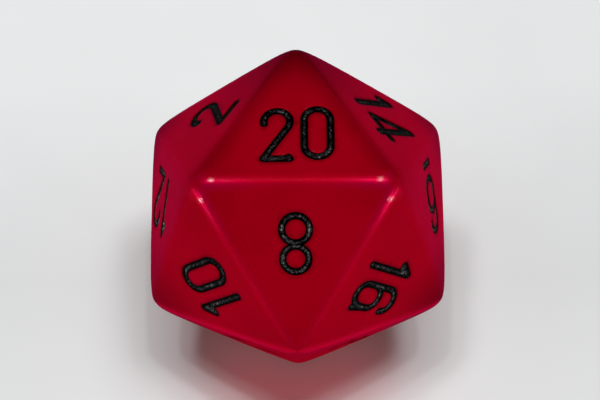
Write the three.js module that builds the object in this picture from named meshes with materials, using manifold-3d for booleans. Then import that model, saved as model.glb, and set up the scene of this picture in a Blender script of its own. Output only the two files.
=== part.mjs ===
// A twenty-sided polyhedral die: a tumbled icosahedron of solid red plastic with its numerals engraved in
// the faces, and black paint filling every engraved stroke. Each painted digit, and each bar under a six or
// a nine, is a piece of its own. Opposite faces add up to twenty-one.
// Millimetres, +Z up. The die rests on face 1 with face 20 uppermost, and the origin is the middle of the
// resting face. The top of the 20 points along +Y.
import * as THREE from "three";
import { mergeVertices } from "three/addons/utils/BufferGeometryUtils.js";
import Module from "manifold-3d";

const wasm = await Module();
wasm.setup();

// Driving dimensions of the body
const ACROSS_FLATS = 20; // between two opposite faces
const EDGE_RADIUS = 1.0; // rounding that tumbling leaves on edges and corners
const ROUND_SEGMENTS = 4; // facets across one rounded edge

// Driving dimensions of the numerals, measured along the middle line of the strokes
const DIGIT_HEIGHT = 3.77;
const DIGIT_WIDTH = 1.7;
const STROKE = 0.46; // width of an engraved stroke
const DIGIT_GAP = 0.92; // between neighbouring digits
const GAP_AFTER_ONE = 1.3;
const FLAG_WIDTH = 0.6; // the slanted flag at the top of a one
const FLAG_HEIGHT = 0.8;
const FOUR_WIDTH = 2.26; // a four's crossbar runs past its stem
const FOUR_STEM = 1.6;
const FOUR_BAR_HEIGHT = 0.64;
const LOOP_HEIGHT = 2.29; // the closed loop of a six or a nine, and the bowl of a five
const EIGHT_UPPER_RADIUS = 0.83;
const EIGHT_LOWER_RADIUS = 0.88;
const EIGHT_WAIST = 0.2; // between the middle lines of an eight's two rings
const SEVEN_FOOT = 0.5; // where a seven's slanted leg meets the base line
const FIVE_STEM = 0.2;
const FIVE_BAR_END = 1.6;
const UNDERLINE_LENGTH = 1.5; // the bar that tells a six from a nine
const UNDERLINE_DROP = 1.0;
const TWO_HOOK_START = 192; // degrees, as for the arcs below
const THREE_START = 160;
const THREE_END = -160;
const FIVE_BOWL_START = 140;
const FIVE_BOWL_END = -165;
const SIX_HOOK_END = 5;
const ARC_STEP = 30;
const CAP_STEP = 60;

// Depths of the engraving and of the paint in it
const ENGRAVING_DEPTH = 0.3;
const PAINT_RECESS = 0.05; // the paint dries a little below the face
const PAINT_CLEARANCE = 0.02; // between the paint and the walls of its groove
const CUTTER_RISE = 0.2; // how far the engraving cutters stand out of the face

// Proportions of the icosahedron with one face level: four rings of three corners each
const GOLDEN = (1 + Math.sqrt(5)) / 2;
const INRADIUS = ACROSS_FLATS / 2;
const TOP_RING_RADIUS = ACROSS_FLATS / GOLDEN ** 2;
const MIDDLE_RING_RADIUS = TOP_RING_RADIUS * GOLDEN;
const MIDDLE_RING_HEIGHT = INRADIUS - TOP_RING_RADIUS;
const THIRD_TURN = 120;
const WELD = 1e-5; // vertices closer than this are one

// The rings A to D run from the top down, and each one's corners are a third of a turn apart.
const RINGS = {
  A: { radius: TOP_RING_RADIUS, height: INRADIUS, azimuth: 90 },
  B: { radius: MIDDLE_RING_RADIUS, height: MIDDLE_RING_HEIGHT, azimuth: 270 },
  C: { radius: MIDDLE_RING_RADIUS, height: -MIDDLE_RING_HEIGHT, azimuth: 90 },
  D: { radius: TOP_RING_RADIUS, height: -INRADIUS, azimuth: 270 },
};

// The top of a numeral points at the first corner listed. shift moves the artwork on its face, turn rotates
// it anticlockwise, size scales it, bold widens its strokes and lifts raises its digits one by one: the
// engraving is a little uneven, as on any die.
const FACES = [
  { number: 1, corners: ["D0", "D1", "D2"] },
  { number: 2, corners: ["B2", "A0", "A1"], shift: [0.2, 0.1], turn: -5, size: 1.06, bold: 1.15 },
  { number: 3, corners: ["B0", "C2", "D0"] },
  { number: 4, corners: ["C0", "A0", "B1"] },
  { number: 5, corners: ["B2", "C0", "D2"] },
  { number: 6, corners: ["C2", "A2", "B1"], shift: [-0.15, 0.12], turn: -2 },
  { number: 7, corners: ["C1", "D0", "D2"] },
  { number: 8, corners: ["B0", "A1", "A2"], shift: [0.02, 0.21], bold: 0.97 },
  { number: 9, corners: ["B1", "C2", "D1"] },
  { number: 10, corners: ["C1", "A1", "B0"], shift: [-0.26, 0.04], bold: 1.09 },
  { number: 11, corners: ["B1", "C0", "D1"] },
  { number: 12, corners: ["C1", "A1", "B2"], shift: [0.3, -0.08] },
  { number: 13, corners: ["C0", "D1", "D2"] },
  {
    number: 14,
    corners: ["B1", "A0", "A2"],
    shift: [0.3, 0.24],
    turn: 3.3,
    bold: 1.25,
    lifts: [0.16, -0.16],
  },
  { number: 15, corners: ["B2", "C1", "D2"] },
  { number: 16, corners: ["C2", "A2", "B0"], shift: [0.25, -0.04], turn: 1.5, bold: 1.1, spur: "6" },
  { number: 17, corners: ["B0", "C1", "D0"] },
  { number: 18, corners: ["C0", "A0", "B2"] },
  { number: 19, corners: ["C2", "D0", "D1"] },
  {
    number: 20,
    corners: ["A0", "A1", "A2"],
    shift: [0.1, -0.08],
    bold: 1.03,
    lifts: [-0.06, 0.07],
    spur: "2",
  },
];
const UNDERLINED = [6, 9];

// Short overruns of the engraving. Each is a line between two points, measured from the digit's lower right.
const SPURS = {
  2: { start: [0, 0], end: [-0.1, 0.13] },
  6: { start: [0, 1.2], end: [0.18, 0.22] },
};

function bodyMaterial() {
  return new THREE.MeshStandardMaterial({ color: 0x8e0012, roughness: 0.18, metalness: 0 });
}

function paintMaterial() {
  return new THREE.MeshStandardMaterial({ color: 0x0c0c0d, roughness: 0.35, metalness: 0 });
}

// ---- Solids: three.js geometry to and from manifold-3d ----

function toSolid(geometry) {
  const bare = geometry.clone();
  bare.deleteAttribute("normal");
  bare.deleteAttribute("uv");
  const merged = mergeVertices(bare, WELD);
  const mesh = new wasm.Mesh({
    numProp: 3,
    vertProperties: merged.getAttribute("position").array,
    triVerts: new Uint32Array(merged.index.array),
  });
  return new wasm.Manifold(mesh);
}

function toGeometry(solid) {
  const { vertProperties, triVerts } = solid.getMesh();
  const indexed = new THREE.BufferGeometry();
  indexed.setAttribute("position", new THREE.BufferAttribute(vertProperties, 3));
  indexed.setIndex(new THREE.BufferAttribute(triVerts, 1));
  const geometry = indexed.toNonIndexed();
  geometry.computeVertexNormals();
  return geometry;
}

function union(solids) {
  return solids.reduce((whole, solid) => whole.add(solid));
}

// ---- Numerals: strokes as lists of points along their middle line, the base line at y = 0 ----

function point(x, y) {
  return new THREE.Vector2(x, y);
}

// Points of an arc about (x, y). The angles are in degrees and may run either way.
function arc(x, y, radius, from, to, step = ARC_STEP) {
  const count = Math.ceil(Math.abs(to - from) / step);
  return Array.from({ length: count + 1 }, (_, i) => {
    const angle = THREE.MathUtils.degToRad(from + ((to - from) * i) / count);
    return point(x + radius * Math.cos(angle), y + radius * Math.sin(angle));
  });
}

// A stroke is of one of three kinds: a line with two round ends, a closed loop, or a filled pad.
function line(...points) {
  return { kind: "line", points };
}

function ring(x, y, radius) {
  return { kind: "loop", points: arc(x, y, radius, 0, 360).slice(0, -1) };
}

// A closed loop with round ends, standing on the base line.
function loop(height) {
  const r = DIGIT_WIDTH / 2;
  return { kind: "loop", points: [...arc(r, height - r, r, 0, 180), ...arc(r, r, r, 180, 360)] };
}

function one() {
  const top = point(FLAG_WIDTH, DIGIT_HEIGHT);
  const tip = point(0, DIGIT_HEIGHT - FLAG_HEIGHT);
  const notch = point(FLAG_WIDTH, DIGIT_HEIGHT - FLAG_HEIGHT);
  return [line(point(FLAG_WIDTH, 0), top), { kind: "pad", points: [top, tip, notch] }];
}

// A hook over the top leaves its arc on the tangent to the lower left corner.
function two() {
  const r = DIGIT_WIDTH / 2;
  const centre = DIGIT_HEIGHT - r;
  const slope = Math.atan2(centre, r) - Math.asin(r / Math.hypot(r, centre));
  const leave = THREE.MathUtils.radToDeg(slope) - 90;
  return [
    line(...arc(r, centre, r, TWO_HOOK_START, leave), point(0, 0)),
    line(point(0, 0), point(DIGIT_WIDTH, 0)),
  ];
}

function three() {
  const r = DIGIT_WIDTH / 2;
  const upper = 2 * EIGHT_LOWER_RADIUS + EIGHT_WAIST + EIGHT_UPPER_RADIUS;
  return [
    line(...arc(r, upper, EIGHT_UPPER_RADIUS, THREE_START, -90)),
    line(...arc(r, EIGHT_LOWER_RADIUS, EIGHT_LOWER_RADIUS, 90, THREE_END)),
  ];
}

function four() {
  const apex = point(FOUR_STEM, DIGIT_HEIGHT);
  const corner = point(0, FOUR_BAR_HEIGHT);
  return [
    line(apex, corner),
    line(corner, point(FOUR_WIDTH, FOUR_BAR_HEIGHT)),
    line(apex, point(FOUR_STEM, 0)),
  ];
}

function five() {
  const r = DIGIT_WIDTH / 2;
  const bowl = [...arc(r, LOOP_HEIGHT - r, r, FIVE_BOWL_START, 0), ...arc(r, r, r, 0, FIVE_BOWL_END)];
  const corner = point(FIVE_STEM, DIGIT_HEIGHT);
  return [line(corner, point(FIVE_BAR_END, DIGIT_HEIGHT)), line(corner, bowl[0]), line(...bowl)];
}

function six() {
  const r = DIGIT_WIDTH / 2;
  const hook = arc(r, DIGIT_HEIGHT - r, r, SIX_HOOK_END, 180);
  return [line(...hook, point(0, LOOP_HEIGHT - r)), loop(LOOP_HEIGHT)];
}

function seven() {
  const corner = point(DIGIT_WIDTH, DIGIT_HEIGHT);
  return [line(point(0, DIGIT_HEIGHT), corner), line(corner, point(SEVEN_FOOT, 0))];
}

function eight() {
  const r = DIGIT_WIDTH / 2;
  const upper = 2 * EIGHT_LOWER_RADIUS + EIGHT_WAIST + EIGHT_UPPER_RADIUS;
  return [ring(r, upper, EIGHT_UPPER_RADIUS), ring(r, EIGHT_LOWER_RADIUS, EIGHT_LOWER_RADIUS)];
}

// A six turned upside down.
function nine() {
  return six().map(({ kind, points }) => ({
    kind,
    points: points.map((p) => point(DIGIT_WIDTH - p.x, DIGIT_HEIGHT - p.y)),
  }));
}

const GLYPHS = {
  0: { width: DIGIT_WIDTH, strokes: [loop(DIGIT_HEIGHT)] },
  1: { width: FLAG_WIDTH, strokes: one() },
  2: { width: DIGIT_WIDTH, strokes: two() },
  3: { width: DIGIT_WIDTH, strokes: three() },
  4: { width: FOUR_WIDTH, strokes: four() },
  5: { width: DIGIT_WIDTH, strokes: five() },
  6: { width: DIGIT_WIDTH, strokes: six() },
  7: { width: DIGIT_WIDTH, strokes: seven() },
  8: { width: DIGIT_WIDTH, strokes: eight() },
  9: { width: DIGIT_WIDTH, strokes: nine() },
};

// The same line moved sideways, to the left of its direction of travel.
function beside(points, distance, closed) {
  const last = points.length - 1;
  return points.map((here, i) => {
    const before = i > 0 ? points[i - 1] : closed ? points[last] : here;
    const after = i < last ? points[i + 1] : closed ? points[0] : here;
    const arriving = here.clone().sub(before).normalize();
    const leaving = after.clone().sub(here).normalize();
    const along = arriving.clone().add(leaving).normalize();
    const mitre = arriving.lengthSq() && leaving.lengthSq() ? along.dot(leaving) : 1;
    return point(-along.y, along.x).multiplyScalar(distance / mitre).add(here);
  });
}

function headingOf(from, to) {
  return THREE.MathUtils.radToDeg(to.clone().sub(from).angle());
}

// The half circle that ends a stroke at a point, for a stroke that arrives from another point.
function cap(end, from, radius) {
  const heading = headingOf(from, end);
  return arc(end.x, end.y, radius, heading + 90, heading - 90, CAP_STEP);
}

// The outline around a convex area whose corners run anticlockwise, rounded at each corner.
function padOutline(points, radius) {
  const last = points.length - 1;
  return points.flatMap((corner, i) => {
    const arriving = headingOf(points[i > 0 ? i - 1 : last], corner);
    const leaving = headingOf(corner, points[i < last ? i + 1 : 0]);
    const turn = THREE.MathUtils.euclideanModulo(leaving - arriving, 360);
    return arc(corner.x, corner.y, radius, arriving - 90, arriving + turn - 90, CAP_STEP);
  });
}

function strokeShape({ kind, points }, halfWidth) {
  if (kind === "pad") return new THREE.Shape(padOutline(points, halfWidth));
  if (kind === "loop") {
    const shape = new THREE.Shape(beside(points, -halfWidth, true));
    shape.holes.push(new THREE.Path(beside(points, halfWidth, true)));
    return shape;
  }
  const last = points.length - 1;
  const left = beside(points, halfWidth, false).slice(1, -1);
  const right = beside(points, -halfWidth, false).slice(1, -1);
  return new THREE.Shape([
    ...left,
    ...cap(points[last], points[last - 1], halfWidth),
    ...right.reverse(),
    ...cap(points[0], points[1], halfWidth),
  ]);
}

// Strokes raised into one solid between two heights over the face.
function strokeSolid(strokes, halfWidth, bottom, top) {
  const prisms = strokes.map((stroke) => {
    const settings = { depth: top - bottom, bevelEnabled: false };
    const prism = new THREE.ExtrudeGeometry(strokeShape(stroke, halfWidth), settings);
    return toSolid(prism.translate(0, 0, bottom));
  });
  return union(prisms);
}

// ---- Layout of a numeral on its face ----

function cornerAt(name) {
  const { radius, height, azimuth } = RINGS[name[0]];
  const angle = THREE.MathUtils.degToRad(azimuth + THIRD_TURN * Number(name[1]));
  return new THREE.Vector3(radius * Math.cos(angle), radius * Math.sin(angle), height);
}

// From the artwork's own plane, centred on the origin with its outside along +Z, to its face.
function faceMatrix({ corners, shift = [0, 0], turn = 0, size = 1 }) {
  const [first, second, third] = corners.map(cornerAt);
  const middle = first.clone().add(second).add(third).divideScalar(3);
  const normal = middle.clone().normalize();
  const up = first.clone().sub(middle).normalize();
  const right = up.clone().cross(normal);
  const place = new THREE.Matrix4().makeBasis(right, up, normal).setPosition(middle);
  const nudge = new THREE.Matrix4().makeTranslation(shift[0], shift[1], 0);
  const rotate = new THREE.Matrix4().makeRotationZ(THREE.MathUtils.degToRad(turn));
  const scale = new THREE.Matrix4().makeScale(size, size, 1);
  return place.multiply(nudge).multiply(rotate).multiply(scale);
}

function spurLine(digit) {
  const ends = [SPURS[digit].start, SPURS[digit].end];
  return line(...ends.map(([x, y]) => point(GLYPHS[digit].width + x, y)));
}

function moved(strokes, dx, dy) {
  const step = point(dx, dy);
  return strokes.map(({ kind, points }) => ({ kind, points: points.map((p) => p.clone().add(step)) }));
}

// The painted pieces of one face: a name and the strokes of each, centred on the face's middle.
function artwork({ number, spur, lifts = [0, 0] }) {
  const digits = String(number).split("");
  const gaps = digits.slice(1).map((_, i) => (digits[i] === "1" ? GAP_AFTER_ONE : DIGIT_GAP));
  const widths = digits.map((digit) => GLYPHS[digit].width);
  const total = [...widths, ...gaps].reduce((sum, part) => sum + part);
  const label = String(number).padStart(2, "0");
  const places = digits.length === 2 ? ["tens", "units"] : ["units"];
  const pieces = [];
  let x = -total / 2;
  digits.forEach((digit, i) => {
    const strokes = [...GLYPHS[digit].strokes];
    if (digit === spur) strokes.push(spurLine(digit));
    const y = lifts[i] - DIGIT_HEIGHT / 2;
    pieces.push({ name: `paint_${label}_${places[i]}`, strokes: moved(strokes, x, y) });
    x += widths[i] + (gaps[i] ?? 0);
  });
  if (UNDERLINED.includes(number)) {
    const y = -DIGIT_HEIGHT / 2 - UNDERLINE_DROP;
    const bar = line(point(-UNDERLINE_LENGTH / 2, y), point(UNDERLINE_LENGTH / 2, y));
    pieces.push({ name: `paint_${label}_underline`, strokes: [bar] });
  }
  return pieces;
}

// ---- Body ----

function slerp(a, b, share) {
  const angle = a.angleTo(b);
  if (angle === 0) return a.clone();
  const from = Math.sin((1 - share) * angle) / Math.sin(angle);
  const to = Math.sin(share * angle) / Math.sin(angle);
  return a.clone().multiplyScalar(from).addScaledVector(b, to);
}

function faceNormal(face) {
  return face.corners.map(cornerAt).reduce((sum, corner) => sum.add(corner)).normalize();
}

// The icosahedron shrunk by the edge radius and swept by a ball of that radius: flat triangles, a strip of
// cylinder along each edge and a patch of sphere on each corner, all meeting at the same points.
function roundedIcosahedron() {
  const shrink = (INRADIUS - EDGE_RADIUS) / INRADIUS;
  const positions = [];
  const at = (corner, normal) => cornerAt(corner).multiplyScalar(shrink).addScaledVector(normal, EDGE_RADIUS);
  const triangle = (a, b, c) => {
    const outward = b.clone().sub(a).cross(c.clone().sub(a)).dot(a) > 0;
    const order = outward ? [a, b, c] : [a, c, b];
    order.forEach((v) => positions.push(v.x, v.y, v.z));
  };
  const steps = Array.from({ length: ROUND_SEGMENTS }, (_, i) => i);

  FACES.forEach((face) => triangle(...face.corners.map((corner) => at(corner, faceNormal(face)))));

  FACES.forEach((face, i) => {
    FACES.slice(i + 1).forEach((other) => {
      const shared = face.corners.filter((corner) => other.corners.includes(corner));
      if (shared.length !== 2) return;
      const [n1, n2] = [faceNormal(face), faceNormal(other)];
      // One strip of cylinder along the edge
      steps.forEach((step) => {
        const near = slerp(n1, n2, step / ROUND_SEGMENTS);
        const far = slerp(n1, n2, (step + 1) / ROUND_SEGMENTS);
        triangle(at(shared[0], near), at(shared[1], near), at(shared[1], far));
        triangle(at(shared[0], near), at(shared[1], far), at(shared[0], far));
      });
      // One fifth of the sphere patch at each end of it
      shared.forEach((corner) => {
        const pole = cornerAt(corner).normalize();
        const on = (row, place) => {
          const a = slerp(pole, n1, row / ROUND_SEGMENTS);
          const b = slerp(pole, n2, row / ROUND_SEGMENTS);
          return at(corner, row === 0 ? pole : slerp(a, b, place / row));
        };
        steps.forEach((row) => {
          for (let place = 0; place <= row; place += 1) {
            triangle(on(row, place), on(row + 1, place), on(row + 1, place + 1));
            if (place < row) triangle(on(row, place), on(row + 1, place + 1), on(row, place + 1));
          }
        });
      });
    });
  });
  const geometry = new THREE.BufferGeometry();
  return geometry.setAttribute("position", new THREE.Float32BufferAttribute(positions, 3));
}

function dieBody() {
  const cutters = FACES.flatMap((face) =>
    artwork(face).map(({ strokes }) => {
      const halfWidth = (STROKE / 2) * (face.bold ?? 1);
      const cutter = strokeSolid(strokes, halfWidth, -ENGRAVING_DEPTH, CUTTER_RISE);
      return toSolid(toGeometry(cutter).applyMatrix4(faceMatrix(face)));
    }),
  );
  const engraved = toSolid(roundedIcosahedron()).subtract(union(cutters));
  const mesh = new THREE.Mesh(toGeometry(engraved), bodyMaterial());
  mesh.name = "die_body";
  return mesh;
}

function paint(face) {
  const onFace = new THREE.Group();
  onFace.applyMatrix4(faceMatrix(face));
  const halfWidth = (STROKE / 2) * (face.bold ?? 1) - PAINT_CLEARANCE;
  artwork(face).forEach(({ name, strokes }) => {
    const fill = strokeSolid(strokes, halfWidth, PAINT_CLEARANCE - ENGRAVING_DEPTH, -PAINT_RECESS);
    const mesh = new THREE.Mesh(toGeometry(fill), paintMaterial());
    mesh.name = name;
    onFace.add(mesh);
  });
  return onFace;
}

const die = new THREE.Group();
die.add(dieBody());
FACES.forEach((face) => die.add(paint(face)));
die.position.z = INRADIUS;

const group = new THREE.Group();
group.add(die);

export default group;
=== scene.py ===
"""A tumbled red twenty-sided die with engraved numerals and black paint in them, on a pale floor.

Mesh code works in millimetres about the die's centre, on icosahedron corners worked out from the frame's
size, and put() turns the result into metres in the frame.
"""

import math

import bpy
import numpy as np
from mathutils import Matrix, Vector
from mathutils.geometry import delaunay_2d_cdt


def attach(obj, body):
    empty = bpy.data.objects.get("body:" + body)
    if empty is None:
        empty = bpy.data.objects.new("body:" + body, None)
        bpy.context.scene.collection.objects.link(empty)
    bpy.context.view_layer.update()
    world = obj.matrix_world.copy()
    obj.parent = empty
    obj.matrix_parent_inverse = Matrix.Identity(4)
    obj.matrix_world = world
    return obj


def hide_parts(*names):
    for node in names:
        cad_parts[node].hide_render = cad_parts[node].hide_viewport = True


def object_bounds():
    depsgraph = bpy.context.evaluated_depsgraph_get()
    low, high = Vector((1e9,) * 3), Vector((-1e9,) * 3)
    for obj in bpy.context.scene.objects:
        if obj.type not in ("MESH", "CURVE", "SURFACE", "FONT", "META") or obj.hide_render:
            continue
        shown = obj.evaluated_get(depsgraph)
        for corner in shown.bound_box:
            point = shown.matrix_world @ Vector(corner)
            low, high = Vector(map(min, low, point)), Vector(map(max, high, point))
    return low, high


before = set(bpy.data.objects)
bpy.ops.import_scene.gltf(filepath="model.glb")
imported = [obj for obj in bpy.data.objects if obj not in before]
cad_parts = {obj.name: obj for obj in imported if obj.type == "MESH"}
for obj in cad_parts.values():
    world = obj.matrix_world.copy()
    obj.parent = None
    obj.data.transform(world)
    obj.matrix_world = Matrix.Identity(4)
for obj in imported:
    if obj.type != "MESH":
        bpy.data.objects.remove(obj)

CAD_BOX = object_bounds()
MM = 0.001

# Driving dimensions of the body, in millimetres. The height between flats comes from the frame.
INRADIUS = (CAD_BOX[1][2] - CAD_BOX[0][2]) / 2 / MM
GOLDEN = (1 + math.sqrt(5)) / 2
EDGE = 2 * INRADIUS * math.sqrt(3) / GOLDEN**2
CENTRE = np.array([0, 0, INRADIUS])
EDGE_SOFTNESS = 0.15  # how softly the flats run into each other: smaller is sharper
CORNER_BALL = 12.2  # radius of the ball that tumbling wears the corners down to
CORNER_SOFTNESS = 0.66
GRID = 64  # rows of the mesh across a face
GRID_CROWDING = 1.6  # above 1, rows crowd towards the edges
NEWTON_STEPS = 20  # in the search for the tumbled surface
WELD_DISTANCE = 1e-3  # corners of triangles that lie this close become one
PLANE_TOLERANCE = 1e-5  # of the triangulation in a face's plane

# Driving dimensions of the numerals, as in the CAD model, along the middle line of the strokes
DIGIT_HEIGHT = 3.77
DIGIT_WIDTH = 1.7
STROKE = 0.46
DIGIT_GAP = 0.92
GAP_AFTER_ONE = 1.3
FLAG_WIDTH = 0.6
FLAG_HEIGHT = 0.8
FOUR_WIDTH = 2.26
FOUR_STEM = 1.6
FOUR_BAR_HEIGHT = 0.64
LOOP_HEIGHT = 2.29
EIGHT_UPPER_RADIUS = 0.83
EIGHT_LOWER_RADIUS = 0.88
EIGHT_WAIST = 0.2
SEVEN_FOOT = 0.5
FIVE_STEM = 0.2
FIVE_BAR_END = 1.6
UNDERLINE_LENGTH = 1.5
UNDERLINE_DROP = 1.0
TWO_HOOK_START = 192  # degrees, as for the arcs below
THREE_START = 160
THREE_END = -160
FIVE_BOWL_START = 140
FIVE_BOWL_END = -165
SIX_HOOK_END = 5
ARC_STEP = 9  # degrees between points along an arc
CAP_STEP = 20  # and around the end of a stroke
LINE_STEP = 0.12  # spacing of points along a straight stroke

# The engraved groove: its depth falls from 0 at the lip to full at the floor
GROOVE_DEPTH = 0.3
LIP_MARGIN = 0.045  # the lip lies this far outside the stroke
GROOVE_LIP = STROKE / 2 + LIP_MARGIN
GROOVE_FLOOR = 0.1
# Rings of points run along a stroke at these distances from its middle line
GROOVE_RINGS = (GROOVE_LIP, 0.25, 0.225, 0.2, 0.17, 0.13, GROOVE_FLOOR)

# The paint in it
PAINT_EDGE = 0.236  # half its width where it meets the wall
PAINT_RINGS = (PAINT_EDGE, 0.22, 0.19, 0.15, 0.11, 0.06)
PAINT_LOW = 0.075  # how far the middle of a stroke's paint lies below the face
PAINT_LUMP = 0.022  # height of its lumps
PAINT_LUMP_SIZE = 0.35
SMALL_LUMP_SIZE = 0.16  # smaller lumps lie on the others
SMALL_LUMP_HEIGHT = 0.6  # as a share of the others' height
PAINT_BURY = 0.004  # the paint reaches this far into the wall
PAINT_TRIM = 5e-4  # triangles whose middle comes this close to the edge lie outside the stroke
RIPPLE_WAVES = 10  # how many waves are added up to make lumps
RIPPLE_SPAN = 4  # what their sum is divided by, to keep it within about -1 to 1
SEEDS_PER_FACE = 100
SEEDS_PER_PIECE = 10

# Painted shade around the corners of the rings A to D: how much, and how far it reaches
CORNER_SHADE = {
    "A": (1.0, 0.25, 0.25),
    "B": (0.1, 0.95, 1.0),
    "C": (0.6, 0.75, 0.95),
    "D": (0.6, 0.6, 0.6),
}
CORNER_SHADE_RADIUS = {"A": 5.2, "B": 5.2, "C": 6.5, "D": 5.2}
TOP_FACE = 20
FLANK_SHADE_RADIUS = 9  # around corner A0, on the faces other than the top one

# Painted shade along the top face's edges and inside the groove lips, and the ridges' polish, painted
# highlights and mirror-like spots
EDGE_SHADE_REACH = 0.9
GROOVE_SHADE = 0.02  # how far beyond the lip the plastic gets painted shade
POLISHED_FACE = 8  # the ridges around this face are polished, with a painted highlight, mostly near two of its corners
POLISHED_CORNERS = (1, 2)  # A1 and A2
POLISH_START = 0.5  # distances from such a corner: the polish starts, is full, and has faded
POLISH_FULL = 1.1
POLISH_REACH = 5.0
POLISH_WIDTH = 0.4  # to either side of a ridge
FRONT_REACH = 0.6  # beyond the polished face
FAR_POLISH = 0.15  # what is left of the polish beyond its reach
RIM_POLISH = 0.3  # on the edges between upper and lower faces, which also get a painted highlight
SHINE_PLACE = 1.35  # a small mirror-like spot lies this far from the corner
SHINE_REACH = 0.24

# The top of a numeral points at the first corner listed. size scales it, bold widens its strokes, lifts
# raises its digits one by one, spur gives a digit an overrun and the paint's wear factor multiplies its
# paleness: partly its wear and partly painted glints and reflections
FACES = (
    {"number": 1, "corners": ("D0", "D1", "D2")},
    {
        "number": 2,
        "corners": ("B2", "A0", "A1"),
        "shift": (0.2, 0.1),
        "turn": -5,
        "size": 1.06,
        "bold": 1.15,
        "wear_and_glint": 0.4,
    },
    {"number": 3, "corners": ("B0", "C2", "D0")},
    {"number": 4, "corners": ("C0", "A0", "B1")},
    {"number": 5, "corners": ("B2", "C0", "D2")},
    {"number": 6, "corners": ("C2", "A2", "B1"), "shift": (-0.15, 0.12), "turn": -2, "wear_and_glint": 1.5},
    {"number": 7, "corners": ("C1", "D0", "D2")},
    {"number": 8, "corners": ("B0", "A1", "A2"), "shift": (0.02, 0.21), "bold": 0.97, "wear_and_glint": 3},
    {"number": 9, "corners": ("B1", "C2", "D1")},
    {"number": 10, "corners": ("C1", "A1", "B0"), "shift": (-0.26, 0.04), "bold": 1.09, "wear_and_glint": 1.6},
    {"number": 11, "corners": ("B1", "C0", "D1")},
    {"number": 12, "corners": ("C1", "A1", "B2"), "shift": (0.3, -0.08), "wear_and_glint": 2.4},
    {"number": 13, "corners": ("C0", "D1", "D2")},
    {
        "number": 14,
        "corners": ("B1", "A0", "A2"),
        "shift": (0.3, 0.24),
        "turn": 3.3,
        "bold": 1.25,
        "wear_and_glint": 0.4,
        "lifts": (0.16, -0.16),
    },
    {"number": 15, "corners": ("B2", "C1", "D2")},
    {
        "number": 16,
        "corners": ("C2", "A2", "B0"),
        "shift": (0.25, -0.04),
        "turn": 1.5,
        "bold": 1.1,
        "wear_and_glint": 1.6,
        "spur": "6",
    },
    {"number": 17, "corners": ("B0", "C1", "D0")},
    {"number": 18, "corners": ("C0", "A0", "B2")},
    {"number": 19, "corners": ("C2", "D0", "D1")},
    {
        "number": 20,
        "corners": ("A0", "A1", "A2"),
        "shift": (0.1, -0.08),
        "bold": 1.03,
        "lifts": (-0.06, 0.07),
        "spur": "2",
    },
)
UNDERLINED = (6, 9)
# Overruns of the engraving, measured from the digit's lower right
SPURS = {"2": ((0, 0), (-0.1, 0.13)), "6": ((0, 1.2), (0.18, 0.22))}

# Noise that makes the surfaces uneven: scale per metre, detail and roughness
NOISE = {
    "mottle": (260, 4, 0.5),
    "grain": (12000, 2, 0.5),
    "plastic_sheen": (900, 3, 0.5),
    "tumbled_waves": (420, 1, 0.5),
    "fine_grain": (9000, 3, 0.5),
    "specks": (6500, 4, 0.7),
    "patches": (1700, 3, 0.5),
    "paint_sheen": (1800, 3, 0.5),
    "paint_grain": (4500, 4, 0.65),
    "floor": (60, 3, 0.5),
}

# The red plastic. Stops hold a position and a colour, or a number for a grey
MOTTLE_COLOURS = ((0.3, (0.30, 0, 0.006)), (0.7, (0.335, 0, 0.008)))
GRAIN_SHADES = ((0.35, 0.86), (0.65, 1.02))
PAINTED_SHADES = {"corner_shade": 0.42, "top_edge_shade": 0.72, "lip_shade": 0.3}  # painted shade: the colour is multiplied by these
PAINTED_HIGHLIGHTS = {"polish_and_highlight": (0.1, 0, 0.025), "rim_highlight": (0.15, 0, 0)}  # and these painted highlights are added to it
PLASTIC_ROUGHNESS = ((0.3, 0.4), (0.75, 0.48))
POLISHED_ROUGHNESS = 0.7  # as a share of the rest
METALLIC = (0.15, 0.42)  # plain and polished: a little of it keeps the plastic's reflections red
METALLIC_EDGE_TINT = (1, 0, 1, 1)
COAT_WEIGHT = (0.01, 0.8)  # plain and mirror-like
COAT_ROUGHNESS = 0.12
WAVES_BUMP = (0.12, 0.04)  # strength and height in millimetres
GRAIN_BUMP = (0.4, 0.01)

# The black paint
# The paint's specks, whose brightest ones are painted glints
SPECK_GLINT_SHADES = ((0.4, 0.0005), (0.55, 0.012), (0.72, 0.11))
BAND_SHADE_AND_HIGHLIGHT = ((0.4, 0.02), (0.8, 0.55), (1, 1.5))  # painted shade at the edge of a stroke and a painted highlight along its middle, from the edge to the middle
PATCH_SHADES = ((0.4, 0.35), (0.65, 2.1))
PAINT_ROUGHNESS = ((0.3, 0.2), (0.7, 0.42))
PAINT_BUMP = (0.5, 0.03)
PAINT_COAT = 0.035

# The floor: half its side and the reach of its painted shade in metres
FLOOR_HALF_SIZE = 1.5
FLOOR_COLOURS = ((0.3, (0.84, 0.86, 0.865)), (0.7, (0.865, 0.885, 0.89)))
FLOOR_REACH = 0.02
# Painted shade of the floor, across X and along Y
FLOOR_SHADE_ACROSS = ((0, 0.975), (1, 0.935))
FLOOR_SHADE_ALONG = ((0, 0.985), (0.5, 0.885), (1, 1.035))
FLOOR_ROUGHNESS = 0.6
FLOOR_SPECULAR = 0.2

# The camera: millimetres and degrees. It looks at a point a little above and beside the die's centre
CAMERA_DISTANCE = 75.2
CAMERA_ELEVATION = 58.44
CAMERA_AZIMUTH = 1.06
CAMERA_ROLL = -1.02
CAMERA_AIM_RIGHT = 0.2
CAMERA_AIM_UP = 0.99
CAMERA_LENS = 62.15
SENSOR_WIDTH = 36
CLIP_START = 5
CLIP_END = 20000

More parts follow.
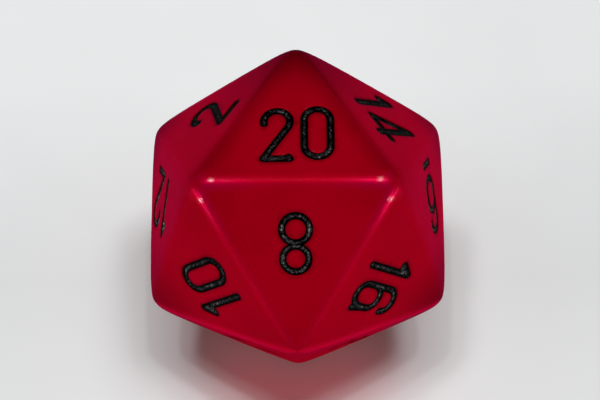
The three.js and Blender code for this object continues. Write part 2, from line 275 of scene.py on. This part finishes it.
# The lights: name, azimuth and elevation in degrees, power in watts, width and height in metres
LIGHT_DISTANCE = 1.0
LIGHTS = (
    ("lamp_left", -112, 71, 1.46, 0.167, 0.133),
    ("lamp_right", 120, 67, 2.22, 0.3, 0.2),
    ("strip", 165, 81, 4.3, 0.8, 0.2),
    ("low_left", -66, 2.5, 6.0, 0.73, 0.06),
    ("low_right", 66, 2.5, 6.0, 0.73, 0.06),
    ("front_left", -25, 20, 0.133, 0.1, 0.1),
    ("front_right", 25, 20, 0.133, 0.1, 0.1),
    ("glint_left", -118, 80, 0.7, 0.035, 0.035),
    ("glint_right", 118, 80, 0.7, 0.035, 0.035),
    ("low_glint_left", -45, 13, 0.333, 0.013, 0.013),
    ("low_glint_right", 45, 13, 0.333, 0.013, 0.013),
)
ROOM_LIGHT = 0.004

# Red light that the underside of the die throws on the floor in front of it: metres and watts
BOUNCE_PLACE = (0, -0.0098, 0.004)
BOUNCE_COLOUR = (1, 0.01, 0.05)
BOUNCE_POWER = 0.00008
BOUNCE_WIDTH = 0.014
BOUNCE_DEPTH = 0.003


# ---- Icosahedron ----

def corner_at(name):
    """Corners in four rings of three, A to D from the top down, with one face level."""
    top_radius = EDGE / math.sqrt(3)
    rings = {
        "A": (top_radius, INRADIUS, 90),
        "B": (top_radius * GOLDEN, INRADIUS - top_radius, 270),
        "C": (top_radius * GOLDEN, top_radius - INRADIUS, 90),
        "D": (top_radius, -INRADIUS, 270),
    }
    radius, height, azimuth = rings[name[0]]
    angle = math.radians(azimuth + 120 * int(name[1]))
    return np.array([radius * math.cos(angle), radius * math.sin(angle), height])


def face_axes(face):
    """The middle of a face and the directions of its artwork: right, up and out."""
    corners = [corner_at(name) for name in face["corners"]]
    middle = sum(corners) / 3
    out = middle / np.linalg.norm(middle)
    up = (corners[0] - middle) / np.linalg.norm(corners[0] - middle)
    return middle, np.cross(up, out), up, out


NORMALS = np.array([face_axes(face)[3] for face in FACES])
RINGS = "ABCD"
TURNS = "012"
CORNERS = np.array([corner_at(ring + turn) for ring in RINGS for turn in TURNS])


def on_surface(points):
    """Points moved along their own directions to the tumbled surface.

    It is a smooth minimum of the flats and a ball, and Newton's method finds where a direction meets it.
    """
    directions = points / np.linalg.norm(points, axis=1)[:, None]
    facing = directions @ NORMALS.T
    reach = np.minimum(INRADIUS / facing.max(axis=1), CORNER_BALL)
    for _ in range(NEWTON_STEPS):
        flats = np.exp((facing * reach[:, None] - INRADIUS) / EDGE_SOFTNESS)
        ball = np.exp((reach - CORNER_BALL) / CORNER_SOFTNESS)
        total = flats.sum(axis=1) + ball
        slope = (flats * facing).sum(axis=1) / EDGE_SOFTNESS + ball / CORNER_SOFTNESS
        reach -= np.log(total) * total / slope
    return directions * reach[:, None]


# ---- Numerals: strokes as points along their middle line, the base line at y = 0 ----

def arc(x, y, radius, start, end, step=ARC_STEP):
    """Points along an arc about (x, y), between two angles in degrees."""
    count = max(1, math.ceil(abs(end - start) / step))
    angles = np.radians(np.linspace(start, end, count + 1))
    return [(x + radius * math.cos(a), y + radius * math.sin(a)) for a in angles]


def straight(start, end):
    """Evenly spaced points from start to end."""
    count = max(1, math.ceil(math.dist(start, end) / LINE_STEP))
    return [tuple(np.array(start) + (np.array(end) - start) * i / count) for i in range(count + 1)]


def line(*points):
    """A stroke through points, with the long stretches between them filled in."""
    path = [points[0]]
    for start, end in zip(points, points[1:]):
        path += straight(start, end)[1:]
    return {"kind": "line", "points": np.array(path)}


def ring(x, y, radius):
    return {"kind": "loop", "points": np.array(arc(x, y, radius, 0, 360)[:-1])}


def loop(height):
    """A closed stroke with half-round ends, one digit wide."""
    r = DIGIT_WIDTH / 2
    path = arc(r, height - r, r, 0, 180) + straight((0, height - r), (0, r))[1:-1]
    path += arc(r, r, r, 180, 360) + straight((2 * r, r), (2 * r, height - r))[1:-1]
    return {"kind": "loop", "points": np.array(path)}


def one():
    top = (FLAG_WIDTH, DIGIT_HEIGHT)
    tip = (0, DIGIT_HEIGHT - FLAG_HEIGHT)
    notch = (FLAG_WIDTH, DIGIT_HEIGHT - FLAG_HEIGHT)
    return [line((FLAG_WIDTH, 0), top), {"kind": "pad", "points": np.array([top, tip, notch])}]


def two():
    r = DIGIT_WIDTH / 2
    centre = DIGIT_HEIGHT - r
    slope = math.atan2(centre, r) - math.asin(r / math.hypot(r, centre))
    leave = math.degrees(slope) - 90
    return [line(*arc(r, centre, r, TWO_HOOK_START, leave), (0, 0)), line((0, 0), (DIGIT_WIDTH, 0))]


def three():
    r = DIGIT_WIDTH / 2
    upper = 2 * EIGHT_LOWER_RADIUS + EIGHT_WAIST + EIGHT_UPPER_RADIUS
    return [
        line(*arc(r, upper, EIGHT_UPPER_RADIUS, THREE_START, -90)),
        line(*arc(r, EIGHT_LOWER_RADIUS, EIGHT_LOWER_RADIUS, 90, THREE_END)),
    ]


def four():
    apex = (FOUR_STEM, DIGIT_HEIGHT)
    corner = (0, FOUR_BAR_HEIGHT)
    return [line(apex, corner), line(corner, (FOUR_WIDTH, FOUR_BAR_HEIGHT)), line(apex, (FOUR_STEM, 0))]


def five():
    r = DIGIT_WIDTH / 2
    bowl = arc(r, LOOP_HEIGHT - r, r, FIVE_BOWL_START, 0) + arc(r, r, r, 0, FIVE_BOWL_END)
    corner = (FIVE_STEM, DIGIT_HEIGHT)
    return [line(corner, (FIVE_BAR_END, DIGIT_HEIGHT)), line(corner, bowl[0]), line(*bowl)]


def six():
    r = DIGIT_WIDTH / 2
    hook = arc(r, DIGIT_HEIGHT - r, r, SIX_HOOK_END, 180)
    return [line(*hook, (0, LOOP_HEIGHT - r)), loop(LOOP_HEIGHT)]


def seven():
    corner = (DIGIT_WIDTH, DIGIT_HEIGHT)
    return [line((0, DIGIT_HEIGHT), corner), line(corner, (SEVEN_FOOT, 0))]


def eight():
    r = DIGIT_WIDTH / 2
    upper = 2 * EIGHT_LOWER_RADIUS + EIGHT_WAIST + EIGHT_UPPER_RADIUS
    return [ring(r, upper, EIGHT_UPPER_RADIUS), ring(r, EIGHT_LOWER_RADIUS, EIGHT_LOWER_RADIUS)]


def nine():
    turned = np.array([DIGIT_WIDTH, DIGIT_HEIGHT])
    return [{"kind": stroke["kind"], "points": turned - stroke["points"]} for stroke in six()]


GLYPHS = {
    "0": (DIGIT_WIDTH, [loop(DIGIT_HEIGHT)]),
    "1": (FLAG_WIDTH, one()),
    "2": (DIGIT_WIDTH, two()),
    "3": (DIGIT_WIDTH, three()),
    "4": (FOUR_WIDTH, four()),
    "5": (DIGIT_WIDTH, five()),
    "6": (DIGIT_WIDTH, six()),
    "7": (DIGIT_WIDTH, seven()),
    "8": (DIGIT_WIDTH, eight()),
    "9": (DIGIT_WIDTH, nine()),
}


def placed(strokes, face, dx, dy):
    """Strokes moved to their place in a numeral, then scaled, turned and shifted as on that face."""
    turn = math.radians(face.get("turn", 0))
    rotation = np.array([[math.cos(turn), math.sin(turn)], [-math.sin(turn), math.cos(turn)]])
    shift = np.array(face.get("shift", (0, 0)))
    moved = []
    for stroke in strokes:
        points = (stroke["points"] + (dx, dy)) * face.get("size", 1) @ rotation + shift
        moved.append({"kind": stroke["kind"], "points": points})
    return moved


def boldness(face):
    """What the widths of strokes are multiplied by on a face."""
    return face.get("size", 1) * face.get("bold", 1)


def artwork(face):
    """The painted pieces of a face: CAD node name to strokes, in the face's own plane."""
    digits = str(face["number"])
    gaps = [GAP_AFTER_ONE if digit == "1" else DIGIT_GAP for digit in digits[:-1]] + [0]
    widths = [GLYPHS[digit][0] for digit in digits]
    lifts = face.get("lifts", (0,) * len(digits))
    places = ("tens", "units")[-len(digits):]
    pieces = {}
    x = -(sum(widths) + sum(gaps)) / 2
    for digit, place, width, gap, lift in zip(digits, places, widths, gaps, lifts):
        strokes = list(GLYPHS[digit][1])
        if face.get("spur") == digit:
            strokes.append(line(*[(width + sx, sy) for sx, sy in SPURS[digit]]))
        name = f"paint_{face['number']:02d}_{place}"
        pieces[name] = placed(strokes, face, x, lift - DIGIT_HEIGHT / 2)
        x += width + gap
    if face["number"] in UNDERLINED:
        bar = line((-UNDERLINE_LENGTH / 2, 0), (UNDERLINE_LENGTH / 2, 0))
        drop = -DIGIT_HEIGHT / 2 - UNDERLINE_DROP
        pieces[f"paint_{face['number']:02d}_underline"] = placed([bar], face, 0, drop)
    return pieces


# ---- Outlines of strokes, and how far a point is from their middle lines ----

def beside(points, distance, closed):
    """The same line moved to the left of its direction of travel."""
    before = np.roll(points, 1, axis=0)
    after = np.roll(points, -1, axis=0)
    if not closed:
        before[0] = points[0]
        after[-1] = points[-1]
    arriving = unit(points - before)
    leaving = unit(after - points)
    along = unit(arriving + leaving)
    mitre = np.where((arriving != 0).any(axis=1), (along * arriving).sum(axis=1), 1)
    normals = np.stack([-along[:, 1], along[:, 0]], axis=1)
    return points + normals * (distance / mitre)[:, None]


def unit(vectors):
    lengths = np.linalg.norm(vectors, axis=-1, keepdims=True)
    return np.divide(vectors, lengths, out=np.zeros_like(vectors), where=lengths > 0)


def heading(start, end):
    return math.degrees(math.atan2(end[1] - start[1], end[0] - start[0]))


def cap(end, start, radius):
    """The half circle around the end of a stroke that comes from start."""
    way = heading(start, end)
    return arc(end[0], end[1], radius, way + 90, way - 90, CAP_STEP)


def outlines(stroke, half_width):
    """The closed lines that run at a distance from a stroke's middle line."""
    points = stroke["points"]
    if stroke["kind"] == "loop":
        return [beside(points, half_width, True), beside(points, -half_width, True)]
    if stroke["kind"] == "pad":
        return [pad_outline(points, half_width)]
    left = beside(points, half_width, False)[1:-1]
    right = beside(points, -half_width, False)[1:-1][::-1]
    first = cap(points[0], points[1], half_width)
    last = cap(points[-1], points[-2], half_width)
    return [np.array([*left, *last, *right, *first])]


def pad_outline(points, radius):
    """The line around a filled polygon at a distance, round at its corners."""
    outline = []
    for i, corner in enumerate(points):
        arriving = heading(points[i - 1], corner)
        leaving = heading(corner, points[(i + 1) % len(points)])
        turn = (leaving - arriving) % 360
        outline += arc(corner[0], corner[1], radius, arriving - 90, arriving + turn - 90, CAP_STEP)
    return np.array(outline)


def distance_to(strokes, points):
    """How far points in a face's plane are from the nearest middle line, and 0 inside a pad."""
    nearest = np.full(len(points), np.inf)
    for stroke in strokes:
        start = stroke["points"]
        end = np.roll(start, -1, axis=0)
        if stroke["kind"] == "line":
            start, end = start[:-1], end[:-1]
        along = end - start
        offset = points[:, None] - start
        share = (offset * along).sum(axis=2) / (along**2).sum(axis=1)
        gap = offset - np.clip(share, 0, 1)[..., None] * along
        nearest = np.minimum(nearest, np.sqrt((gap**2).sum(axis=2)).min(axis=1))
        if stroke["kind"] == "pad":
            cross = along[:, 0] * offset[..., 1] - along[:, 1] * offset[..., 0]
            nearest[(cross >= 0).all(axis=1)] = 0
    return nearest


def ease(share):
    """A smooth step from 0 to 1."""
    share = np.clip(share, 0, 1)
    return share * share * (3 - 2 * share)


def fade(distance, reach):
    """1 on the spot, falling smoothly to 0 at the reach."""
    return 1 - ease(distance / reach)


def groove_depth(distance):
    """How deep the groove is at a distance from the stroke's middle line."""
    return GROOVE_DEPTH * ease((GROOVE_LIP - distance) / (GROOVE_LIP - GROOVE_FLOOR))


def ripple(points, seed, scale):
    """A smooth random pattern between about -1 and 1, the same on every run."""
    random = np.random.default_rng(seed)
    waves = random.normal(size=(RIPPLE_WAVES, points.shape[1])) * 2 * math.pi / scale
    phases = random.uniform(0, 2 * math.pi, RIPPLE_WAVES)
    return np.sin(points @ waves.T + phases).sum(axis=1) / RIPPLE_SPAN


# ---- Triangulation in a face's plane ----

def triangulate(loops, lines, loose):
    """Constrained triangles over closed loops, open lines and loose points."""
    points = []
    edges = []
    for path, closed in [(path, True) for path in loops] + [(path, False) for path in lines]:
        first = len(points)
        points += [Vector(p) for p in path]
        edges += [(first + i, first + i + 1) for i in range(len(path) - 1)]
        if closed:
            edges.append((len(points) - 1, first))
    points += [Vector(p) for p in loose]
    flat, _, triangles, *_ = delaunay_2d_cdt(points, edges, [], 0, PLANE_TOLERANCE)
    return np.array([tuple(p) for p in flat]), np.array(triangles)


def stroke_rings(strokes, half_widths, bold):
    """All the closed lines around strokes at the given distances, wider on a bold face."""
    return [path for stroke in strokes for width in half_widths for path in outlines(stroke, width * bold)]


def middle_lines(strokes):
    lines = []
    for stroke in strokes:
        points = stroke["points"]
        closed = stroke["kind"] != "line"
        lines.append(np.vstack([points, points[:1]]) if closed else points)
    return lines


def face_plane(face):
    """The triangular face before tumbling: points in its plane, triangles, and the strokes on it."""
    middle, right, up, _ = face_axes(face)
    corners = [corner_at(name) - middle for name in face["corners"]]
    flat = np.array([(corner @ right, corner @ up) for corner in corners])
    steps = np.array([(i, j, GRID - i - j) for i in range(GRID + 1) for j in range(GRID + 1 - i)])
    shares = steps**GRID_CROWDING
    grid = shares @ flat / shares.sum(axis=1)[:, None]
    on_rim = (steps == 0).any(axis=1)
    strokes = [stroke for piece in artwork(face).values() for stroke in piece]
    bold = boldness(face)
    clear = distance_to(strokes, grid) > GROOVE_LIP * bold + EDGE / GRID / 2
    rings = stroke_rings(strokes, GROOVE_RINGS, bold)
    points, triangles = triangulate(rings, middle_lines(strokes), grid[clear | on_rim])
    return points, triangles, strokes


def raise_points(face, points, height):
    """Points in a face's plane taken to the tumbled surface, and moved along the face's outward normal."""
    middle, right, up, out = face_axes(face)
    sharp = middle + points[:, :1] * right + points[:, 1:] * up
    return on_surface(sharp) + height[:, None] * out


# ---- Meshes ----

def put(name, points, triangles):
    """A smooth-shaded mesh object from millimetres about the die's centre."""
    mesh = bpy.data.meshes.new(name)
    mesh.from_pydata(((points + CENTRE) * MM).tolist(), [], triangles.tolist())
    mesh.validate()
    mesh.polygons.foreach_set("use_smooth", [True] * len(mesh.polygons))
    item = bpy.data.objects.new(name, mesh)
    bpy.context.scene.collection.objects.link(item)
    return item


def merge(points, triangles):
    """Points that coincide made one, the triangles that this leaves, and which points were kept."""
    keys = np.round(points / WELD_DISTANCE).astype(np.int64)
    _, first, inverse = np.unique(keys, axis=0, return_index=True, return_inverse=True)
    triangles = inverse.reshape(-1)[triangles]
    a, b, c = triangles.T
    return points[first], triangles[(a != b) & (b != c) & (a != c)], first


def make_body():
    """The plastic of the die: twenty engraved faces, joined where their corners and rims meet."""
    points = []
    triangles = []
    lip_shade = []
    count = 0
    for face in FACES:
        flat, faces, strokes = face_plane(face)
        distance = distance_to(strokes, flat) / boldness(face)
        points.append(raise_points(face, flat, -groove_depth(distance)))
        triangles.append(faces + count)
        # Painted shade on the plastic at the groove lip
        lip_shade.append(ease((GROOVE_LIP + GROOVE_SHADE - distance) / GROOVE_SHADE / 2))
        count += len(flat)
    points, triangles, first = merge(np.vstack(points), np.vstack(triangles))
    body = put("tumbled_body", points, triangles)
    add_wear(body, points, np.concatenate(lip_shade)[first])
    return body


def corner_grime(facing, to_corners):
    """Painted shade around the corners, which reaches farther from A0 on the faces other than the top one.
    """
    amount = np.concatenate([CORNER_SHADE[ring] for ring in RINGS])
    radius = np.repeat([CORNER_SHADE_RADIUS[ring] for ring in RINGS], len(TURNS))
    reach = np.tile(radius, (len(facing), 1))
    reach[facing.argmax(axis=1) != TOP_FACE - 1, 0] = FLANK_SHADE_RADIUS
    return (fade(to_corners, reach) * amount).max(axis=1)


def add_wear(body, points, lip_shade):
    """Where the plastic gets painted shade, painted highlights, polish and mirror-like spots, for its
    material: values that are 1 on the spot and fade to 0 around it.
    """
    to_corners = np.linalg.norm(points[:, None] - CORNERS, axis=2)
    facing = unit(points) @ NORMALS.T
    ordered = np.sort(facing, axis=1)
    from_edge = (ordered[:, -1] - ordered[:, -2]) * INRADIUS
    from_front = (ordered[:, -1] - facing[:, POLISHED_FACE - 1]) * INRADIUS
    from_top = (ordered[:, -1] - facing[:, TOP_FACE - 1]) * INRADIUS
    to_end = to_corners[:, POLISHED_CORNERS].min(axis=1)
    # Polished ridges, which also get a painted highlight in the colour
    sharp_edge = fade(from_edge, POLISH_WIDTH)
    front_ridge = sharp_edge * fade(from_front, FRONT_REACH)
    fading = FAR_POLISH + (1 - FAR_POLISH) * fade(to_end, POLISH_REACH)
    along_ridge = fading * ease((to_end - POLISH_START) / (POLISH_FULL - POLISH_START))
    # Painted shade along the top face's edges, away from the polished face
    top_edge_shade = fade(from_edge, EDGE_SHADE_REACH) * fade(from_top, EDGE_SHADE_REACH)
    # The rims between upper and lower faces, which get a painted highlight
    heights = NORMALS[np.argsort(facing, axis=1)[:, -2:], 2]
    rim_highlight = sharp_edge * (heights.prod(axis=1) < 0)
    # Painted shade at the corners, along the top face's edges and in the groove lips; polish with painted
    # highlights on ridges and rims; mirror-like spots
    add_attribute(body, "corner_shade", corner_grime(facing, to_corners))
    add_attribute(body, "top_edge_shade", top_edge_shade * ease(from_front / EDGE_SHADE_REACH))
    add_attribute(body, "polish_and_highlight", np.maximum(front_ridge * along_ridge, RIM_POLISH * rim_highlight))
    add_attribute(body, "rim_highlight", rim_highlight)
    add_attribute(body, "shine", front_ridge * fade(abs(to_end - SHINE_PLACE), SHINE_REACH))
    add_attribute(body, "lip_shade", lip_shade)


def add_attribute(item, name, values):
    attribute = item.data.attributes.new(name, "FLOAT", "POINT")
    attribute.data.foreach_set("value", values.astype(np.float32))


def make_paint(name, face, strokes, seed):
    """A closed fill: a hollow, slightly lumpy top, over an underside that follows the groove."""
    bold = boldness(face)
    rings = stroke_rings(strokes, PAINT_RINGS, bold)
    flat, triangles = triangulate(rings, middle_lines(strokes), [])
    inside = distance_to(strokes, flat[triangles].mean(axis=1)) < (PAINT_EDGE - PAINT_TRIM) * bold
    triangles = triangles[inside]
    used, triangles = np.unique(triangles, return_inverse=True)
    triangles = triangles.reshape(-1, 3)
    flat = flat[used]
    distance = distance_to(strokes, flat) / bold
    edge_depth = groove_depth(PAINT_EDGE)
    inward = ease((PAINT_EDGE - distance) / PAINT_EDGE)
    lumps = ripple(flat, seed, PAINT_LUMP_SIZE)
    lumps = lumps + SMALL_LUMP_HEIGHT * ripple(flat, seed + 1, SMALL_LUMP_SIZE)
    top = -edge_depth - (PAINT_LOW - edge_depth) * inward + PAINT_LUMP * lumps * np.sqrt(inward)
    bottom = np.minimum(-groove_depth(distance), top) - PAINT_BURY
    count = len(flat)
    points = np.vstack([raise_points(face, flat, top), raise_points(face, flat, bottom)])
    shell = np.vstack([triangles, triangles[:, ::-1] + count, rim_walls(triangles, count)])
    fill = put(name, points, shell)
    add_attribute(fill, "inward", np.tile((PAINT_EDGE - distance) / PAINT_EDGE, 2))
    # The face's paint factor: partly wear, partly painted glints and reflections
    add_attribute(fill, "wear_and_glint", np.full(2 * count, face.get("wear_and_glint", 1)))
    return fill


def rim_walls(triangles, count):
    """Two triangles for each border edge of the top, down to the same edge of the underside."""
    edges = np.vstack([triangles[:, (0, 1)], triangles[:, (1, 2)], triangles[:, (2, 0)]])
    known = {tuple(edge) for edge in edges}
    border = [(a, b) for a, b in edges if (b, a) not in known]
    return np.array([t for a, b in border for t in ((b, a, a + count), (b, a + count, b + count))])


# ---- Materials ----

def new_material(name):
    material = bpy.data.materials.new(name)
    material.use_nodes = True
    nodes = material.node_tree.nodes
    return material, nodes, material.node_tree.links, nodes["Principled BSDF"]


def noise(nodes, links, name):
    """One of the noises listed in NOISE, in the object's own coordinates."""
    place = nodes.new("ShaderNodeTexCoord")
    texture = nodes.new("ShaderNodeTexNoise")
    for socket, value in zip(("Scale", "Detail", "Roughness"), NOISE[name]):
        texture.inputs[socket].default_value = value
    links.new(place.outputs["Object"], texture.inputs["Vector"])
    return texture.outputs["Fac"]


def as_colour(value):
    """A colour as it is, and a number as a grey."""
    return value if isinstance(value, tuple) else (value, value, value)


def ramp(nodes, links, source, stops):
    """A colour ramp over a source, from stops of a position and a colour or a grey."""
    node = nodes.new("ShaderNodeValToRGB")
    while len(node.color_ramp.elements) < len(stops):
        node.color_ramp.elements.new(0.5)
    for element, (position, colour) in zip(node.color_ramp.elements, stops):
        element.position = position
        element.color = (*as_colour(colour), 1)
    links.new(source, node.inputs["Fac"])
    return node.outputs["Color"]


def tint(nodes, links, base, factor, mode="MULTIPLY"):
    """One colour multiplied by another, or mixed with it in another mode."""
    node = nodes.new("ShaderNodeMix")
    node.data_type = "RGBA"
    node.blend_type = mode
    node.inputs["Factor"].default_value = 1
    links.new(base, node.inputs["A"])
    links.new(factor, node.inputs["B"])
    return node.outputs["Result"]


def bump(nodes, links, height, strength, millimetres, normal=None):
    """Bumps up to so many millimetres high, on top of another bump's normal if there is one."""
    node = nodes.new("ShaderNodeBump")
    node.inputs["Strength"].default_value = strength
    node.inputs["Distance"].default_value = millimetres * MM
    links.new(height, node.inputs["Height"])
    if normal:
        links.new(normal, node.inputs["Normal"])
    return node.outputs["Normal"]


def attribute(nodes, name):
    node = nodes.new("ShaderNodeAttribute")
    node.attribute_name = name
    return node.outputs["Fac"]


def by_attribute(nodes, links, name, start, end):
    """What goes from start to end, two colours or numbers, as an attribute goes from 0 to 1."""
    return ramp(nodes, links, attribute(nodes, name), ((0, start), (1, end)))


def spread(nodes, links, source, reach):
    """A length from minus reach to reach, as 0 to 1."""
    node = nodes.new("ShaderNodeMapRange")
    node.inputs["From Min"].default_value = -reach
    node.inputs["From Max"].default_value = reach
    links.new(source, node.inputs["Value"])
    return node.outputs["Result"]


def red_plastic():
    material, nodes, links, shader = new_material("red_plastic")
    colour = ramp(nodes, links, noise(nodes, links, "mottle"), MOTTLE_COLOURS)
    grain = ramp(nodes, links, noise(nodes, links, "grain"), GRAIN_SHADES)
    colour = tint(nodes, links, colour, grain)
    # Painted shade at the corners, along the top face's edges and in the groove lips
    for name, shade in PAINTED_SHADES.items():
        colour = tint(nodes, links, colour, by_attribute(nodes, links, name, 1, shade))
    # Painted highlights on the polished ridges and on the rims
    for name, extra in PAINTED_HIGHLIGHTS.items():
        colour = tint(nodes, links, colour, by_attribute(nodes, links, name, 0, extra), "ADD")
    rough = ramp(nodes, links, noise(nodes, links, "plastic_sheen"), PLASTIC_ROUGHNESS)
    ridge = by_attribute(nodes, links, "polish_and_highlight", 1, POLISHED_ROUGHNESS)
    waves = bump(nodes, links, noise(nodes, links, "tumbled_waves"), *WAVES_BUMP)
    grain_bump = bump(nodes, links, noise(nodes, links, "fine_grain"), *GRAIN_BUMP, waves)
    links.new(colour, shader.inputs["Base Color"])
    links.new(tint(nodes, links, rough, ridge), shader.inputs["Roughness"])
    links.new(grain_bump, shader.inputs["Normal"])
    links.new(by_attribute(nodes, links, "polish_and_highlight", *METALLIC), shader.inputs["Metallic"])
    links.new(by_attribute(nodes, links, "shine", *COAT_WEIGHT), shader.inputs["Coat Weight"])
    shader.inputs["Coat Roughness"].default_value = COAT_ROUGHNESS
    shader.inputs["Specular IOR Level"].default_value = 0
    shader.inputs["Specular Tint"].default_value = METALLIC_EDGE_TINT
    return material


def black_paint():
    material, nodes, links, shader = new_material("black_paint")
    # Specks, the brightest of them painted glints
    colour = ramp(nodes, links, noise(nodes, links, "specks"), SPECK_GLINT_SHADES)
    # Painted shade at the edges of strokes and a painted highlight along their middles
    band_light = ramp(nodes, links, attribute(nodes, "inward"), BAND_SHADE_AND_HIGHLIGHT)
    patches = ramp(nodes, links, noise(nodes, links, "patches"), PATCH_SHADES)
    # The face's paint factor here is partly wear and partly painted glints and reflections
    for shade in (band_light, patches, attribute(nodes, "wear_and_glint")):
        colour = tint(nodes, links, colour, shade)
    rough = ramp(nodes, links, noise(nodes, links, "paint_sheen"), PAINT_ROUGHNESS)
    grain_bump = bump(nodes, links, noise(nodes, links, "paint_grain"), *PAINT_BUMP)
    links.new(colour, shader.inputs["Base Color"])
    links.new(rough, shader.inputs["Roughness"])
    links.new(grain_bump, shader.inputs["Normal"])
    shader.inputs["Specular IOR Level"].default_value = 0
    shader.inputs["Coat Weight"].default_value = PAINT_COAT
    shader.inputs["Coat Roughness"].default_value = COAT_ROUGHNESS
    return material


def pale_floor():
    """The floor's material, with painted shade: a little darker or paler along X and Y."""
    material, nodes, links, shader = new_material("pale_floor")
    colour = ramp(nodes, links, noise(nodes, links, "floor"), FLOOR_COLOURS)
    place = nodes.new("ShaderNodeTexCoord")
    axes = nodes.new("ShaderNodeSeparateXYZ")
    links.new(place.outputs["Object"], axes.inputs["Vector"])
    # Painted shade across X and along Y
    for axis, stops in (("X", FLOOR_SHADE_ACROSS), ("Y", FLOOR_SHADE_ALONG)):
        shade = ramp(nodes, links, spread(nodes, links, axes.outputs[axis], FLOOR_REACH), stops)
        colour = tint(nodes, links, colour, shade)
    links.new(colour, shader.inputs["Base Color"])
    shader.inputs["Roughness"].default_value = FLOOR_ROUGHNESS
    shader.inputs["Specular IOR Level"].default_value = FLOOR_SPECULAR
    return material


# ---- Camera, floor and lights ----

def from_angles(azimuth, elevation):
    """The unit vector towards a point seen at an azimuth from the front (-Y) and an elevation."""
    az = math.radians(azimuth)
    el = math.radians(elevation)
    return Vector((math.sin(az) * math.cos(el), -math.cos(az) * math.cos(el), math.sin(el)))


def make_camera():
    camera = bpy.data.objects.new("camera", bpy.data.cameras.new("camera"))
    camera.data.lens = CAMERA_LENS
    camera.data.sensor_width = SENSOR_WIDTH
    camera.data.clip_start = CLIP_START * MM
    camera.data.clip_end = CLIP_END * MM
    back = from_angles(CAMERA_AZIMUTH, CAMERA_ELEVATION)
    roll = Matrix.Rotation(math.radians(CAMERA_ROLL), 3, "Z").to_quaternion()
    turn = back.to_track_quat("Z", "Y") @ roll
    aim = Vector(CENTRE) + turn @ Vector((CAMERA_AIM_RIGHT, CAMERA_AIM_UP, 0))
    place = Vector(CENTRE) + back * CAMERA_DISTANCE
    camera.rotation_mode = "QUATERNION"
    camera.rotation_quaternion = (place - aim).to_track_quat("Z", "Y") @ roll
    camera.location = place * MM
    bpy.context.scene.collection.objects.link(camera)
    bpy.context.scene.camera = camera


def make_floor():
    size = FLOOR_HALF_SIZE
    mesh = bpy.data.meshes.new("floor")
    corners = [(-size, -size, 0), (size, -size, 0), (size, size, 0), (-size, size, 0)]
    mesh.from_pydata(corners, [], [(0, 1, 2, 3)])
    floor = bpy.data.objects.new("floor", mesh)
    mesh.materials.append(pale_floor())
    bpy.context.scene.collection.objects.link(floor)


def area_light(name, place, direction, power, width, height):
    """A rectangular light at a place, shining against a direction."""
    data = bpy.data.lights.new(name, "AREA")
    data.shape = "RECTANGLE"
    data.size = width
    data.size_y = height
    data.energy = power
    light = bpy.data.objects.new(name, data)
    light.location = place
    light.rotation_mode = "QUATERNION"
    light.rotation_quaternion = direction.to_track_quat("Z", "Y")
    bpy.context.scene.collection.objects.link(light)
    return light


def make_red_bounce():
    up = Vector((0, 0, 1))
    light = area_light("red_bounce", BOUNCE_PLACE, up, BOUNCE_POWER, BOUNCE_WIDTH, BOUNCE_DEPTH)
    light.data.color = BOUNCE_COLOUR
    light.visible_camera = False


def make_lights():
    make_red_bounce()
    for name, azimuth, elevation, power, width, height in LIGHTS:
        direction = from_angles(azimuth, elevation)
        place = Vector(CENTRE) * MM + direction * LIGHT_DISTANCE
        area_light(name, place, direction, power, width, height)
    world = bpy.data.worlds.new("room")
    world.use_nodes = True
    background = world.node_tree.nodes["Background"]
    background.inputs["Color"].default_value = (1, 1, 1, 1)
    background.inputs["Strength"].default_value = ROOM_LIGHT
    bpy.context.scene.world = world


# ---- Assembly ----

make_camera()
make_floor()
make_lights()
bpy.context.scene.view_settings.view_transform = "Standard"

body = make_body()
body.data.materials.append(red_plastic())
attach(body, "root")
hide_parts("die_body")

paint_material = black_paint()
for face in FACES:
    for number, (node, strokes) in enumerate(artwork(face).items()):
        seed = SEEDS_PER_FACE * face["number"] + SEEDS_PER_PIECE * number
        fill = make_paint("fill" + node.removeprefix("paint"), face, strokes, seed)
        fill.data.materials.append(paint_material)
        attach(fill, "root")
        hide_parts(node)
